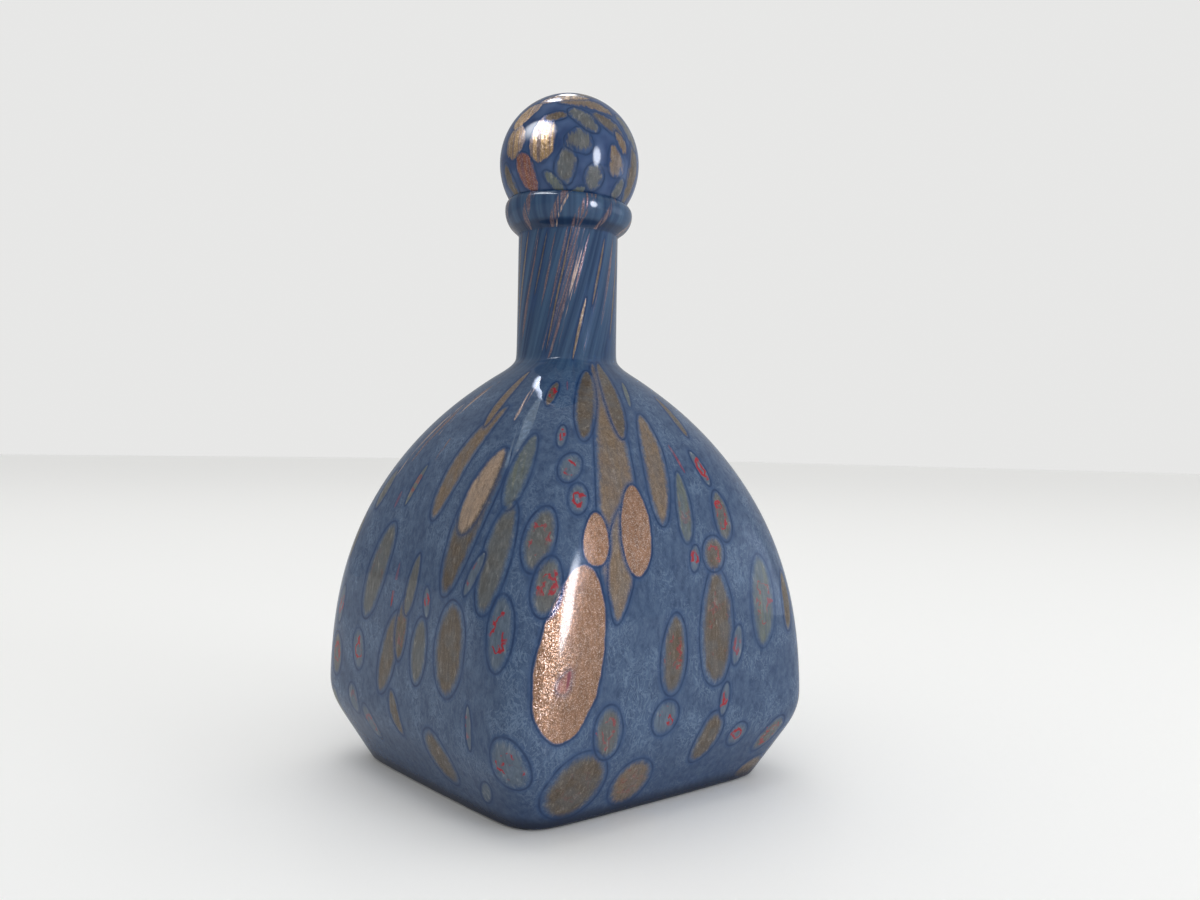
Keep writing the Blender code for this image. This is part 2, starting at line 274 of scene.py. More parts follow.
def chipped_glass(name, ground, wander=1.0):
    """Cased glass, fire-polished: chips under a clear, wet-looking skin that keeps sharp reflections.

    ground adds the pattern of the glass between the chips and returns its colour; wander is how ragged
    the chips' outlines are. Patterns are sized in millimetres, as one over their size.
    """
    glass, tree, spot = new_finish(name)
    colour = ground(tree, spot)
    # Molten glass creeps, so a chip's outline wanders slowly by a few hundredths of its own width, is
    # ragged by less than that, and its red ring wanders by far more.
    warps = []
    for size, reach, depth in ((8.0, 0.13 * wander, 1), (2.2, 0.022 * wander**2, 1), (2.4, 1.4, 2)):
        cloud = add(tree, "TexNoise", spot, None, 1 / size, depth, out="Color")
        level = add(tree, "VectorMath", cloud, (0.5, 0.5, 0.5), operation="SUBTRACT")
        warps.append(add(tree, "VectorMath", level, (reach, reach * 0.6, 0), operation="MULTIPLY"))
    creep, ring_creep = add(tree, "VectorMath", warps[0], warps[1], operation="ADD"), warps[2]
    # Fibres about a millimetre apart run up the wall inside each chip, drawn out as the glass was, and
    # some are milky. Real ones are finer than the render shows.
    drawn = add(tree, "VectorMath", spot, (1, 1, 0.25), operation="MULTIPLY")
    fibre = add(tree, "TexNoise", drawn, None, 1 / 1.0, 4, 0.65, named={"Distortion": 0.6})
    shading = add(tree, "MapRange", fibre, 0.3, 0.7, 0.6, 1.14)
    patch = add(tree, "TexNoise", spot, None, 1 / 3.5, 2)
    milk = add(tree, "MapRange", fibre, 0.55, 0.7, 0.0, 0.42)
    milk = add(tree, "Math", milk, add(tree, "MapRange", patch, 0.45, 0.6, 0.15, 1.0), operation="MULTIPLY")
    tint = add(tree, "TexNoise", spot, None, 1 / 5.0, 2, out="Color")
    tint = add(tree, "MapRange", add(tree, "SeparateXYZ", tint), 0.42, 0.62, 0.0, 0.32)
    ragged = add(tree, "MapRange", fibre, 0.3, 0.7, -0.18 * wander, 0.18 * wander)
    strands = add(tree, "MapRange", twisted_streaks(tree, spot, 0.5, 1), 0.45, 0.54, 0.05, 1.0)
    glitter = 0.0
    for layer in range(LAYERS):
        place = add(tree, "Attribute", attribute_name=f"chip_place_{layer}", out="Vector")
        form = add(tree, "Attribute", attribute_name=f"chip_form_{layer}", out="Vector")
        kind = add(tree, "Attribute", attribute_name=f"chip_glass_{layer}", out="Vector")
        _, along, taper = add(tree, "SeparateXYZ", place).node.outputs
        half_width, half_length, dark_edge = add(tree, "SeparateXYZ", form).node.outputs
        shade, red, shine = add(tree, "SeparateXYZ", kind).node.outputs
        up = add(tree, "Math", along, half_length, operation="DIVIDE")
        slim = add(tree, "Math", up, taper, operation="MULTIPLY")
        slim = add(tree, "Math", 1.0, slim, operation="SUBTRACT")
        slim = add(tree, "Math", slim, NARROWEST, operation="MAXIMUM")
        slim = add(tree, "Math", slim, half_width, operation="MULTIPLY")
        axes = add(tree, "CombineXYZ", slim, half_length, 1.0)
        flat = add(tree, "VectorMath", place, (1, 1, 0), operation="MULTIPLY")
        # How far past the chip's outline a point lies, and how far past its red ring, in millimetres.
        edges = []
        for bent, middle in ((creep, 1.0), (ring_creep, 0.42)):
            share = add(tree, "VectorMath", flat, axes, operation="DIVIDE")
            share = add(tree, "VectorMath", share, bent, operation="ADD")
            radius = add(tree, "VectorMath", share, operation="LENGTH", out="Value")
            slope = add(tree, "VectorMath", share, axes, operation="DIVIDE")
            slope = add(tree, "VectorMath", slope, operation="LENGTH", out="Value")
            past = add(tree, "Math", radius, middle, operation="SUBTRACT")
            past = add(tree, "Math", past, radius, operation="MULTIPLY")
            edges.append(add(tree, "Math", past, slope, operation="DIVIDE"))
        off_edge, off_ring = edges
        # The chip's own edge is a fine navy line, a little broken, with a deep blue haze round it.
        off_line = add(tree, "Math", off_edge, operation="ABSOLUTE")
        line = add(tree, "MapRange", off_line, 0.1, 0.5, 1.0, 0.0, interpolation_type="SMOOTHSTEP")
        haze = add(tree, "MapRange", off_line, 0.2, 1.5, 0.6, 0.0, interpolation_type="SMOOTHSTEP")
        broken = add(tree, "MapRange", patch, 0.35, 0.6, 0.55, 1.0)
        line = add(tree, "Math", line, broken, operation="MULTIPLY")
        line = add(tree, "Math", line, dark_edge, operation="MULTIPLY")
        haze = add(tree, "Math", haze, dark_edge, operation="MULTIPLY")
        colour = add(tree, "Mix", haze, named={6: colour, 7: linear("#284268")}, data_type="RGBA", out=2)
        # Its body fades in over up to three millimetres, or under one where it is bright copper.
        soft = add(tree, "MapRange", shine, 0.2, 1.0, -3.2, -0.8)
        thin = add(tree, "Math", slim, -0.5, operation="MULTIPLY")
        soft = add(tree, "Math", soft, thin, operation="MAXIMUM")
        frayed = add(tree, "Math", ragged, soft, operation="MULTIPLY")
        frayed = add(tree, "Math", frayed, off_edge, operation="ADD")
        rim = add(tree, "Math", soft, 0.15, operation="MULTIPLY")
        body = add(tree, "MapRange", frayed, soft, rim, 1.0, 0.0, interpolation_type="SMOOTHSTEP")
        # A chip without an edge is one that was drawn out to a bundle of threads, with blue between them.
        bundle = add(tree, "Mix", dark_edge, named={2: strands, 3: 1.0})
        body = add(tree, "Math", body, bundle, operation="MULTIPLY")
        tone = add(tree, "ValToRGB", shade)
        rack = tone.node.color_ramp
        rack.interpolation = "CONSTANT"
        rack.elements.remove(rack.elements[1])
        rack.elements[0].color = linear(CHIP_GLASS[SHADES[0]][0])
        for i, kind_of_glass in enumerate(SHADES[1:], 1):
            rack.elements.new(i / len(SHADES)).color = linear(CHIP_GLASS[kind_of_glass][0])
        tone = add(tree, "VectorMath", tone, named={"Scale": shading}, operation="SCALE")
        dull = add(tree, "Math", 1.0, shine, operation="SUBTRACT")
        cast = add(tree, "Math", tint, dull, operation="MULTIPLY")
        tone = add(tree, "Mix", cast, named={6: tone, 7: linear("#566069")}, data_type="RGBA", out=2)
        cream = add(tree, "Math", milk, dull, operation="MULTIPLY")
        tone = add(tree, "Mix", cream, named={6: tone, 7: linear("#a19f98")}, data_type="RGBA", out=2)
        colour = add(tree, "Mix", body, named={6: colour, 7: tone}, data_type="RGBA", out=2)
        colour = add(tree, "Mix", line, named={6: colour, 7: linear("#1d3152")}, data_type="RGBA", out=2)
        # A thin, broken ring of red lies in the middle of many chips.
        off_ring = add(tree, "Math", off_ring, operation="ABSOLUTE")
        ring = add(tree, "MapRange", off_ring, 0.2, 0.7, 1.0, 0.0, interpolation_type="SMOOTHSTEP")
        gaps = add(tree, "MapRange", patch, 0.45, 0.54, 0.0, 1.0)
        ring = add(tree, "Math", ring, gaps, operation="MULTIPLY")
        ring = add(tree, "Math", ring, red, operation="MULTIPLY")
        colour = add(tree, "Mix", ring, named={6: colour, 7: linear("#8c2530")}, data_type="RGBA", out=2)
        glitter = add(tree, "Mix", body, named={2: glitter, 3: shine})
    # Painted shade: the heel is painted nearly black for the shadow it mirrors, where the clear glass is
    # thickest.
    _, _, height = add(tree, "SeparateXYZ", spot).node.outputs
    painted_heel_shade = add(tree, "MapRange", height, 1.4, 5.6, 0.9, 0.0, interpolation_type="SMOOTHSTEP")
    colour = add(tree, "Mix", painted_heel_shade, named={6: colour, 7: linear("#131c30")}, data_type="RGBA", out=2)
    colour, metal, facing = copper_flakes(tree, spot, colour, glitter)
    add(tree, "OutputMaterial", add(tree, "BsdfPrincipled", named={
        "Base Color": colour, "Metallic": metal, "Roughness": 0.36, "IOR": 1.5, "Normal": facing,
        "Specular IOR Level": 0.0, "Coat Weight": 0.55, "Coat Roughness": 0.03, "Coat IOR": 1.5,
        "Coat Normal": clear_skin(tree, spot, height)}))
    return glass


def blue_ground(tree, spot):
    """Slate blue, clouded, with fine pale curls where crushed colour melted, and streaked up the neck."""
    stretched = add(tree, "VectorMath", spot, (1, 1, 0.6), operation="MULTIPLY")
    cloud = add(tree, "TexNoise", stretched, None, 1 / 1.9, 4, 0.6)
    colour = add(tree, "Mix", add(tree, "MapRange", cloud, 0.36, 0.64),
                 named={6: linear("#2e415f"), 7: linear("#435671")}, data_type="RGBA", out=2)
    drift = add(tree, "TexNoise", spot, None, 1 / 12.0, 2)
    pale = add(tree, "MapRange", drift, 0.45, 0.7, 0.0, 0.45)
    colour = add(tree, "Mix", pale, named={6: colour, 7: linear("#4a5e7a")}, data_type="RGBA", out=2)
    # The curls come and go: deep blue ones, then pale ones in two sizes.
    come_and_go = add(tree, "MapRange", drift, 0.42, 0.6, 0.2, 1.0)
    stretched = add(tree, "VectorMath", spot, (1, 1, 0.7), operation="MULTIPLY")
    for size, shown, strength in ((3.4, "#203250", 0.5), (4.6, "#687c94", 0.42), (2.4, "#6a7d95", 0.42)):
        curl = add(tree, "TexNoise", stretched, None, 1 / size, 3, 0.6, named={"Distortion": 1.2})
        off = add(tree, "Math", add(tree, "Math", curl, 0.5, operation="SUBTRACT"), operation="ABSOLUTE")
        vein = add(tree, "MapRange", off, 0.004, 0.035, strength, 0.0)
        vein = add(tree, "Math", vein, come_and_go, operation="MULTIPLY")
        colour = add(tree, "Mix", vein, named={6: colour, 7: linear(shown)}, data_type="RGBA", out=2)
    # Painted shade: the ground darkens towards the heel, where the foot faces down into its shadow.
    _, _, height = add(tree, "SeparateXYZ", spot).node.outputs
    painted_heel_shade = add(tree, "MapRange", height, 1.5, 22.0, 0.5, 0.0)
    colour = add(tree, "Mix", painted_heel_shade, named={6: colour, 7: linear("#1f3050")}, data_type="RGBA", out=2)
    streak = twisted_streaks(tree, spot, 1.3, 4)
    drawn = add(tree, "Mix", add(tree, "MapRange", streak, 0.34, 0.66),
                named={6: linear("#1d3454"), 7: linear("#3a536f")}, data_type="RGBA", out=2)
    on_neck = add(tree, "MapRange", height, SHOULDER - 10, NECK_FOOT + 2, 0.0, 1.0,
                  interpolation_type="SMOOTHSTEP")
    colour = add(tree, "Mix", on_neck, named={6: colour, 7: drawn}, data_type="RGBA", out=2)
    # Painted shade: darker again under the collar, where it overhangs and meets the neck.
    off_joint = add(tree, "Math", height, NECK_TOP + 0.8, operation="SUBTRACT")
    off_joint = add(tree, "Math", off_joint, operation="ABSOLUTE")
    painted_joint_shade = add(tree, "MapRange", off_joint, 0.6, 1.9, 0.7, 0.0, interpolation_type="SMOOTHSTEP")
    return add(tree, "Mix", painted_joint_shade, named={6: colour, 7: linear("#17253f")}, data_type="RGBA", out=2)


vessel = skin("vessel_skin", "vessel", 2)
foot, neck_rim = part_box("vessel")[0].z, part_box("vessel")[1].z
bare = bmesh.new()
bare.from_mesh(vessel.data)
wall = BVHTree.FromBMesh(bare)
bare.free()


def outside(angle, height):
    """The vessel's outer surface at that angle round the axis and that height."""
    away = Vector((math.cos(angle), math.sin(angle), 0))
    return wall.ray_cast(away + Vector((0, 0, height)), -away)[0]


# A chip's place is read as on a paper wrapped round the glass: round the widest part from the corner
# that faces the camera, and up the middle of a wall from the ridge, both in millimetres.
FRONT = math.radians(225)
RIDGE_HEIGHT, END_MARGIN = 21 * MM, 0.3 * MM
STEPS_UP, STEPS_ROUND = 400, 721
heights = np.linspace(foot + END_MARGIN, neck_rim - END_MARGIN, STEPS_UP)
reach = np.array([outside(0, z).x for z in heights]) / MM
rise = np.concatenate([[0], np.cumsum(np.hypot(np.diff(reach), np.diff(heights) / MM))])
rise -= np.interp(RIDGE_HEIGHT, heights, rise)
angles = np.linspace(0, 2 * math.pi, STEPS_ROUND)
belt = np.array([outside(t, RIDGE_HEIGHT) for t in angles]) / MM
girth = np.concatenate([[0], np.cumsum(np.linalg.norm(np.diff(belt, axis=0), axis=1))])
spots, face, normals = corners(vessel.data)
# Chips lie on the outer wall only: not inside, and not under the foot.
outward = spots[:, 0] * normals[face, 0] + spots[:, 1] * normals[face, 1]
outward /= np.hypot(spots[:, 0], spots[:, 1]).clip(1)
outer = (outward > 0.05) & (spots[:, 2] > 0.05)
turn = np.interp(np.arctan2(spots[:, 1], spots[:, 0]) % (2 * math.pi), angles, girth)
turn -= np.interp(FRONT, angles, girth)
climb = np.interp(spots[:, 2] * MM, heights, rise)
narrowing = np.interp(spots[:, 2] * MM, heights, reach / reach.max())


def leaning(aside, up, degrees):
    """Distances to the side and up, as distances across and along a chip that leans to the right."""
    lean = math.radians(degrees)
    return aside * math.cos(lean) - up * math.sin(lean), aside * math.sin(lean) + up * math.cos(lean)


def on_wall(chip):
    """Millimetres across and along a chip, for each corner of the vessel's faces, and where it may lie."""
    aside = ((turn - chip[0] + girth[-1] / 2) % girth[-1] - girth[-1] / 2) * narrowing
    return *leaning(aside, climb - chip[1], chip[4]), outer


# Each chip: around from the corner, up from the ridge, width, length, lean to the right in degrees,
# glass, how strong its red ring is, and how much it tapers upwards.
WALL_CHIPS = [
    # the tall streaks and large ovals right of the front corner
    (32, 80, 13, 84, 5, "tan", 0, 0.5), (31, 50, 10, 32, 9, "tan", 0, -0.2),
    (42, 104, 6, 36, 9, "brown", 0, 0.3), (37, 59, 11, 26, 1, "copper", 0, 0.1),
    (22, 57, 9, 15, 2, "copper", 0, 0.2), (50, 78, 9, 37, 7, "tan", 0, 0.15),
    (24, 101, 8, 32, 12, "brown", 0, 0.2), (14, 28, 21, 46, 11, "copper", 0, 0.1),
    (12, 21, 4, 7, 30, "red", 0, 0.4), (58, 65, 6, 22, 7, "sage", 0.2, 0.2),
    (74, 62, 7, 16, 5, "grey", 1, 0.1), (67, 51, 9, 11, 18, "brown", 0.7, 0),
    (59, 50, 4, 8, 14, "smoke", 1, 0), (66, 30, 14, 34, 4, "brown", 0.3, 0.1),
    (74, 24, 5, 12, 10, "smoke", 0.6, 0), (86, 36, 11, 28, 4, "sage", 0.6, 0),
    (99, 35, 7, 19, 7, "brown", 0, 0), (49, 24, 10, 23, 6, "brown", 0.6, 0.1),
    # right foot
    (46, 7, 9, 11, 49, "smoke", 1, 0), (64, -2, 10, 17, 18, "brown", 0, 0),
    (69, 9, 4, 10, 13, "smoke", 1, 0), (77, -3, 8, 8, -7, "smoke", 1, 0),
    (94, -6, 9, 13, 29, "grey", 0.8, 0), (97, -19, 9, 12, 77, "tan", 0, 0),
    (26, 6, 10, 15, 6, "grey", 0.6, 0), (16, -9, 18, 25, 38, "brown", 0.1, 0),
    (37, -12, 14, 17, 25, "tan", 0.3, 0),
    # left foot
    (-3, 0, 11, 16, -22, "smoke", 1, 0), (-18, 7, 3, 12, -6, "smoke", 0.6, 0),
    (-35, -6, 12, 19, -29, "brown", 0, 0), (-57, 3, 6, 14, -20, "brown", 0, 0),
    (-76, -4, 7, 12, -10, "smoke", 0.5, 0), (-14, -12, 5, 9, 20, "smoke", 0, 0),
    # left wall
    (-7, 33, 9, 20, 4, "smoke", 1, 0), (6, 45, 9, 16, 11, "grey", 0.9, 0),
    (3, 57, 10, 18, 14, "grey", 0.7, 0), (-11, 52, 11, 31, 13, "grey", 0, 0.1),
    (-25, 61, 13, 46, 20, "brown", 0, 0), (-23, 70, 10, 28, 20, "bronze", 0, 0.2),
    (-38, 79, 9, 41, 20, "tan", 0, 0.2), (-19, 47, 4, 14, 30, "smoke", 0.5, 0),
    (-72, 43, 12, 32, 19, "grey", 0.1, 0), (-60, 40, 2, 14, 10, "red", 0, 0),
    (-50, 41, 6, 19, 13, "grey", 0, 0.2), (-41, 37, 4, 9, -8, "smoke", 1, 0),
    (-61, 20, 10, 28, 22, "brown", 0, 0), (-54, 28, 7, 20, 8, "brown", 0.3, 0),
    (-44, 23, 9, 20, 9, "grey", 0, 0), (-28, 26, 15, 27, 9, "brown", 0, 0),
    (-80, 18, 8, 13, 0, "smoke", 1, 0), (-96, 14, 8, 14, 4, "grey", 0.8, 0),
    (-94, 30, 5, 13, 11, "smoke", 0.8, 0), (-84, 2, 7, 10, 0, "smoke", 0.3, 0),
    # front shoulder
    (13, 77, 8, 10, 38, "smoke", 1, 0), (16, 68, 7, 9, 7, "smoke", 1, 0),
    (9, 87, 4, 8, 7, "smoke", 1, 0), (12, 108, 1, 5, 0, "red", 0, 0),
    (1, 104, 4, 12, 10, "brown", 1, 0), (-7, 76, 8, 24, 13, "sage", 0, 0.2),
    (62, 80, 1.4, 10, -12, "red", 0, 0), (72, 77, 4, 12, -9, "smoke", 1, 0),
    (77, 96, 4, 17, 8, "brown", 0, 0.2), (54, 105, 2, 13, 20, "sage", 0, 0),
    # The pale band left of the front corner is a painted sheen, laid as a chip.
    (-9, 92, 7, 34, 15, "painted_sheen", 0, 0.2), (-33, 103, 4, 26, 4, "tan", 0, 0.3),
    (-16, 102, 2.4, 20, 8, "cream", 0, 0.2), (-74, 86, 1.6, 30, 19, "cream", 0, 0),
    (-66, 94, 2.6, 36, 19, "thread", 0, 0), (-61, 97, 1.5, 22, 16, "cream", 0, 0),
    (-55, 82, 1.5, 9, 16, "thread", 0, 0), (-62, 70, 3, 14, 16, "sage", 0.5, 0),
    (-83, 68, 6, 14, 12, "grey", 0, 0), (-70, 65, 2, 6, 12, "red", 0, 0),
    (-95, 52, 6, 16, 8, "grey", 0, 0),
]
# The chips that the neck's pull drew out to threads and bundles of them, written the same way.
THREADS = [
    (5, 146, 6.5, 50, 15, "thread", 0, 0), (-2, 145, 1.2, 42, 15, "tan", 0, 0),
    (-8, 145, 1.8, 42, 15, "thread", 0, 0), (17, 145, 1.2, 42, 15, "cream", 0, 0),
    (25.5, 151, 0.8, 22, 15, "cream", 0, 0), (31, 152, 1.2, 20, 16, "thread", 0, 0),
    (29, 132, 1.6, 20, 14, "tan", 0, 0), (44, 134, 2.2, 22, 13, "thread", 0, 0),
    (54, 150, 1.2, 22, 12, "tan", 0, 0), (-20, 150, 1.2, 24, 14, "thread", 0, 0),
    (-32, 152, 1.0, 20, 14, "brown", 0, 0), (-49, 146, 2.2, 36, 12, "thread", 0, 0),
    (-64, 148, 1.4, 30, 12, "tan", 0, 0), (-80, 146, 2, 34, 10, "brown", 0, 0),
    (70, 148, 1.8, 30, 12, "thread", 0, 0), (88, 146, 1.6, 32, 12, "brown", 0, 0),
]

# Where the scattered chips go, in millimetres round from the corner, and the top of the highest.
FAR_WALLS, HIGHEST_CHIP = (106, 330), 122
SPACE, TRIES = 4, 700


def scatter(chips, seed):
    """Like chips for the two far walls, none touching another: large ones first, then smaller between."""
    chance, put = random.Random(seed), []
    kinds = {"smoke": 26, "grey": 24, "brown": 22, "tan": 10, "copper": 9, "sage": 9}
    for size in (1.0, 0.75, 0.5):
        for _ in range(TRIES):
            up = chance.uniform(-17, 104)
            drawn = max(up - 40, 0) / 60
            wide = chance.uniform(6, 13) * size * (1 - 0.45 * drawn)
            long = wide * chance.uniform(1.2, 2.4) * (1 + 1.6 * drawn)
            lean = chance.gauss(10, 7) if up > 0 else chance.gauss(10, 25)
            around = chance.uniform(*FAR_WALLS)
            kind = chance.choices(list(kinds), kinds.values())[0]
            ring = {"smoke": 1.0, "grey": 0.4}.get(kind, 0) * (chance.random() < 0.8)
            near = 1 - 0.7 * max(up, 0) / 140
            clear_of = all(math.hypot((around - c[0]) * near / (wide + c[2] + SPACE),
                                      (up - c[1]) / (long + c[3] + SPACE)) > 0.5 for c in chips + put)
            if clear_of and up + long / 2 < HIGHEST_CHIP:
                put.append((around, up, wide, long, lean, kind, ring, 0.15))
    return put


lay_chips(vessel, WALL_CHIPS + THREADS + scatter(WALL_CHIPS, 5), on_wall)
vessel.data.materials.append(chipped_glass("cased_slate_glass", blue_ground))
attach(vessel, "carafe")
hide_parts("vessel")


# ---- The lip collar --------------------------------------------------------------------------
# A thick bead of the same glass, wrapped round the neck's rim while hot and flared inside to seat
# the stopper. The neck's threads run on over it as leaning brown stripes.

collar = skin("lip_collar_skin", "lip_collar", 2)
collar_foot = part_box("lip_collar")[0].z
# How high its lowest ring reaches, the radius past which that is the outside, the neck's own radius
# there, and how far the ring sinks inside and outside.
FOOT_BAND, BORE_SIDE, NECK_SIDE = 0.4 * MM, 15 * MM, 15.9 * MM
SUNK_INSIDE, SUNK_OUTSIDE = 0.35 * MM, 1.0 * MM
bead = bmesh.new()
bead.from_mesh(collar.data)
for vertex in bead.verts:
    # The bead is fused to the neck, so its lowest ring sinks to the rim, and outside runs into the neck.
    if vertex.co.z < collar_foot + FOOT_BAND:
        reached = math.hypot(vertex.co.x, vertex.co.y)
        if reached > BORE_SIDE:
            vertex.co.xy = [side * NECK_SIDE / reached for side in vertex.co.xy]
            vertex.co.z -= SUNK_OUTSIDE
        else:
            vertex.co.z -= SUNK_INSIDE
bmesh.ops.remove_doubles(bead, verts=bead.verts, dist=SAME_POINT)
bead.to_mesh(collar.data)
bead.free()
collar_spots = corners(collar.data)[0]
# The bead's radius, the height of its middle and the stripes' length in millimetres, their lean in degrees.
COLLAR_RADIUS, COLLAR_MIDDLE, STRIPE_LENGTH, STRIPE_LEAN = 19, 176, 24, 26
# Each stripe: around from the front corner, width, glass.
COLLAR_STRIPES = [
    (-90, 4, "thread"), (-79, 1.5, "thread"), (-38, 3.4, "thread"), (-2, 2.6, "thread"),
    (4, 0.8, "cream"), (26, 3, "thread"), (33, 1, "thread"), (58, 2.6, "thread"), (110, 3, "thread"),
    (150, 3, "thread"), (186, 2, "thread"), (-112, 2, "thread"), (-150, 3.5, "thread"),
    (-190, 2.5, "thread"),
]


def on_collar(stripe):
    """Millimetres across and along a stripe, for each corner of the collar's faces; it may lie anywhere."""
    angle = np.arctan2(collar_spots[:, 1], collar_spots[:, 0])
    angle -= FRONT + stripe[0] / girth[-1] * 2 * math.pi
    aside = ((angle + math.pi) % (2 * math.pi) - math.pi) * COLLAR_RADIUS
    return *leaning(aside, collar_spots[:, 2] - stripe[1], stripe[4]), np.ones(len(aside), bool)


lay_chips(collar, [(around, COLLAR_MIDDLE, wide, STRIPE_LENGTH, STRIPE_LEAN, kind, 0, 0)
                   for around, wide, kind in COLLAR_STRIPES], on_collar)
collar.data.materials.append(chipped_glass("collar_glass", blue_ground))
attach(collar, "carafe")
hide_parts("lip_collar")


# ---- The seal --------------------------------------------------------------------------------
# A soft sleeve of moulded silicone, pushed on to the stopper's peg, whose ribs grip the bore. It is
# milky, lets a little light through, and has the fine satin grain of its mould.

seal = skin("seal_sleeve", "stopper_seal", 1)
silicone, tree, spot = new_finish("moulded_silicone")
bloom = add(tree, "TexNoise", spot, None, 1 / 2.5, 3)
tint = add(tree, "Mix", bloom, named={6: linear("#d3d3cb"), 7: linear("#e4e4de")}, data_type="RGBA", out=2)
mould_grain = add(tree, "TexNoise", spot, None, 1 / 0.3, 2)
mould_grain = add(tree, "Bump", 0.15, named={"Distance": 0.05 * MM, "Height": mould_grain})
satin = add(tree, "MapRange", bloom, 0.3, 0.7, 0.38, 0.5)
add(tree, "OutputMaterial", add(tree, "BsdfPrincipled", named={
    "Base Color": tint, "Roughness": satin, "IOR": 1.41, "Normal": mould_grain, "Subsurface Weight": 0.4,
    "Subsurface Radius": (3 * MM, 3 * MM, 2.8 * MM), "Subsurface Scale": 1.0, "Transmission Weight": 0.15}))
seal.data.materials.append(silicone)
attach(seal, "sleeve")
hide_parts("stopper_seal")


# ---- The stopper's peg -----------------------------------------------------------------------
# A short stem of clear glass below the ball, ground true to carry the seal and polished again. Faint
# rings from the turning are left in its polish.

peg = skin("stopper_peg_skin", "stopper_peg", 2)
clear, tree, spot = new_finish("clear_polished_glass")
rings = add(tree, "VectorMath", spot, (0.1, 0.1, 2.5), operation="MULTIPLY")
rings = add(tree, "TexNoise", rings, None, 1.0, 2)
add(tree, "OutputMaterial", add(tree, "BsdfPrincipled", named={
    "Base Color": linear("#e6efee"), "Roughness": add(tree, "MapRange", rings, 0.3, 0.7, 0.02, 0.08),
    "IOR": 1.5, "Transmission Weight": 1.0,
    "Normal": add(tree, "Bump", 0.1, named={"Distance": 0.05 * MM, "Height": rings})}))
peg.data.materials.append(clear)
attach(peg, "stopper")
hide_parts("stopper_peg")


# ---- The stopper's ball ----------------------------------------------------------------------
# A solid ball of darker cobalt glass with larger, angular chips, glittering gold and copper ones
# among them, all under a thick clear gather that was turned round and fire-polished.

ball = skin("stopper_ball_skin", "stopper_ball", 3)
low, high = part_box("stopper_ball")
BALL_RADIUS = (high.x - low.x) / 2 / MM
ball_spots = corners(ball.data)[0] - np.array([0, 0, high.z / MM - BALL_RADIUS])
TOWARDS_CAMERA = math.radians(-127.4)
# A chip is drawn on its own side of the ball only, past this share of the radius towards it.
CHIP_SIDE = 0.35


def on_ball(chip):
    """Millimetres across and along a chip, for each corner of the ball's faces, and where it may lie."""
    around, tilt = TOWARDS_CAMERA + math.radians(chip[0]), math.radians(chip[1])
    out = np.array([math.cos(tilt) * math.cos(around), math.cos(tilt) * math.sin(around), math.sin(tilt)])
    right = np.array([-math.sin(around), math.cos(around), 0])
    away = ball_spots @ out
    near = BALL_RADIUS / away.clip(1)
    aside, up = ball_spots @ right * near, ball_spots @ np.cross(out, right) * near
    return *leaning(aside, up, chip[4]), away > CHIP_SIDE * BALL_RADIUS


# Each chip: degrees to the right of the camera's side, degrees up, width, length, lean to the right,
# glass, red ring, taper.
BALL_CHIPS = [
    (-50, 8, 10, 12, 8, "gold", 0, 0.1), (-46, 32, 7, 13, 40, "gold", 0, 0),
    (-22, 8, 9, 17, 8, "gold", 0, 0.2), (-38, -18, 8, 14, -16, "rust", 0, 0),
    (-8, 52, 6, 17, 76, "gold", 0, 0), (18, 43, 6, 20, -78, "tan", 0, 0),
    (8, 6, 9, 9, 20, "grey", 0, 0.3), (-3, -14, 7, 13, 12, "grey", 0, 0.2),
    (-13, -28, 4, 10, -40, "sage", 0, 0), (12, 24, 6, 13, -48, "grey", 0, 0),
    (36, 22, 6, 15, -60, "brown", 0, 0), (46, 9, 5, 8, -30, "tan", 0, 0.3),
    (40, -7, 7, 11, -20, "tan", 0, 0.3), (21, -22, 7, 9, 0, "grey", 0, 0),
    (66, -12, 8, 22, -6, "brown", 0, 0), (62, 22, 6, 14, -30, "grey", 0, 0),
    (-62, -22, 6, 14, -12, "brown", 0, 0), (-12, 26, 4, 8, 80, "brown", 0, 0),
    (8, -34, 3, 6, 60, "sage", 0, 0), (50, -28, 5, 8, 10, "grey", 0, 0),
    (40, 66, 7, 14, 70, "brown", 0, 0), (-60, 56, 7, 14, 30, "tan", 0, 0),
]

# Where the scattered chips go, in degrees round from the camera's side, and the space between them.
FAR_SIDE, BALL_SPACE, BALL_TRIES = (88, 272), 1.5, 260


def scatter_on_ball(chips, seed):
    """Like chips for the far side of the ball, none touching another."""
    chance, put = random.Random(seed), []
    kinds = {"grey": 30, "brown": 26, "tan": 14, "gold": 12, "rust": 8, "sage": 10}
    for size in (1.0, 0.7):
        for _ in range(BALL_TRIES):
            around, up = chance.uniform(*FAR_SIDE), math.degrees(math.asin(chance.uniform(-0.6, 0.97)))
            wide = chance.uniform(4, 8) * size
            long = wide * chance.uniform(1.1, 2.2)
            kind = chance.choices(list(kinds), kinds.values())[0]
            level = math.cos(math.radians(up))
            gaps = [math.hypot(((around - c[0] + 180) % 360 - 180) * level, up - c[1]) for c in chips + put]
            sizes = [math.sqrt(wide * long) + math.sqrt(c[2] * c[3]) + BALL_SPACE for c in chips + put]
            if all(gap > math.degrees(both / 2 / BALL_RADIUS) for gap, both in zip(gaps, sizes)):
                lean, taper = chance.uniform(-80, 80), chance.uniform(0, 0.3)
                put.append((around, up, wide, long, lean, kind, 0, taper))
    return put


def cobalt_ground(tree, spot):
    """Deep cobalt, with slow folds of lighter blue where the gather was turned."""
    fold = add(tree, "TexNoise", spot, None, 1 / 7.0, 2, 0.5)
    return add(tree, "Mix", add(tree, "MapRange", fold, 0.35, 0.65),
               named={6: linear("#22355c"), 7: linear("#3f5478")}, data_type="RGBA", out=2)


